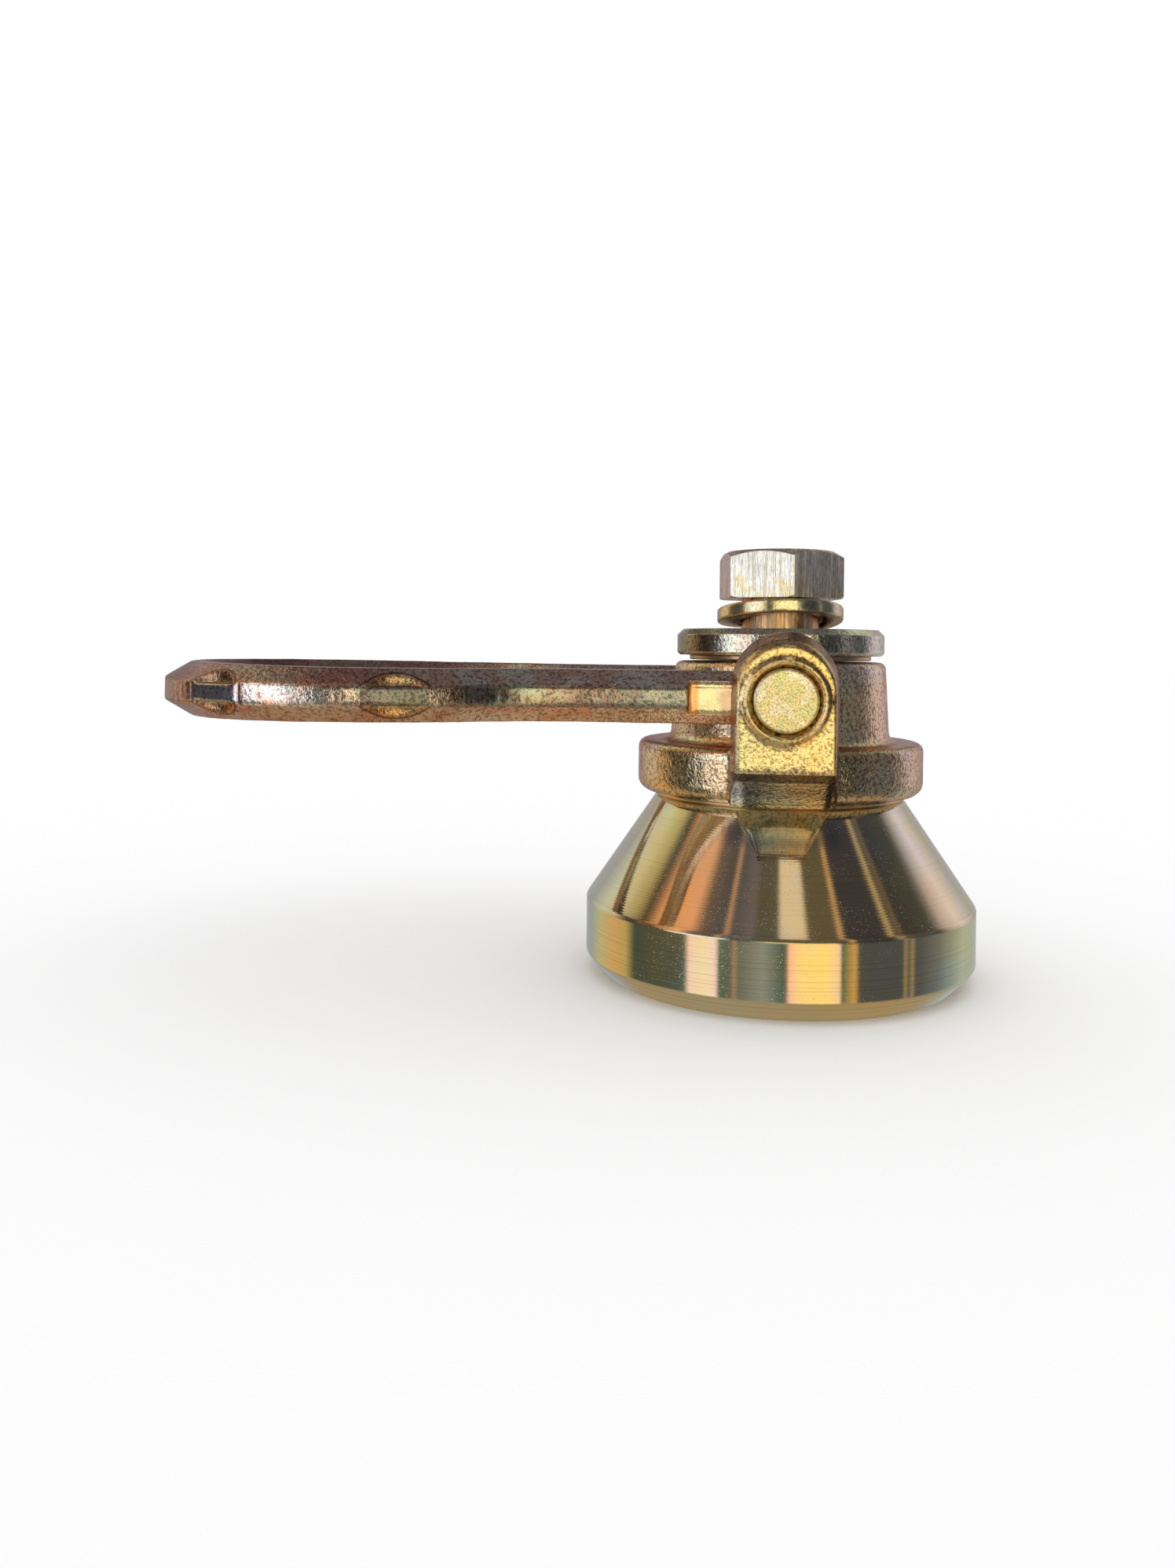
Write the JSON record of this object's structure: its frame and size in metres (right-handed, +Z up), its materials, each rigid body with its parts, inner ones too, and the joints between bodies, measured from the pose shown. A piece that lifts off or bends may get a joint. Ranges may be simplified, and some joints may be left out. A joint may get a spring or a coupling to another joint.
{
  "type": "swivel lifting ring",
  "caption": "Swivelling lifting point: pear-shaped load ring hinged between the lugs of a turning body, bolted on a conical weld-on base.",
  "frame": {"origin": "centre of the conical base's flat underside, where it is welded down", "axes": "+Z up along the swivel axis and the bolt; the load ring rests level and points along -X; the pivot pins lie along Y"},
  "size_m": [0.2136, 0.121, 0.1092],
  "materials": {
    "turned_zinc": "turned, iridescent yellow zinc",
    "forged_zinc": "forged and blasted, yellow zinc",
    "ring_zinc": "forged and blasted, dark yellow zinc",
    "pin_zinc": "turned, yellow zinc",
    "washer_zinc": "pale zinc",
    "spring_washer_zinc": "yellow zinc",
    "bolt_zinc": "pale yellow zinc",
    "bush_steel": "dark, oiled",
    "spring_steel": "oiled spring steel"
  },
  "bodies": {
    "base": {"conical_base": "turned_zinc", "thrust_washer": "spring_steel", "flanged_bush": "bush_steel", "top_washer": "washer_zinc", "spring_washer": "spring_washer_zinc", "hex_bolt": "bolt_zinc"},
    "swivel": {"swivel_body": "forged_zinc", "pivot_pin_front": "pin_zinc", "pivot_pin_rear": "pin_zinc", "friction_spring_front": "spring_steel", "friction_spring_rear": "spring_steel"},
    "ring": {"load_ring": "ring_zinc"}
  },
  "joints": [
    {"name": "body_swivel", "type": "hinge", "parent": "base", "child": "swivel", "pos_m": [0, 0, 0.06], "axis": [0, 0, 1], "continuous": true},
    {"name": "ring_swing", "type": "hinge", "parent": "swivel", "child": "ring", "pos_m": [0, 0, 0.0725], "axis": [0, 1, 0], "range_deg": [-10, 190]}
  ]
}
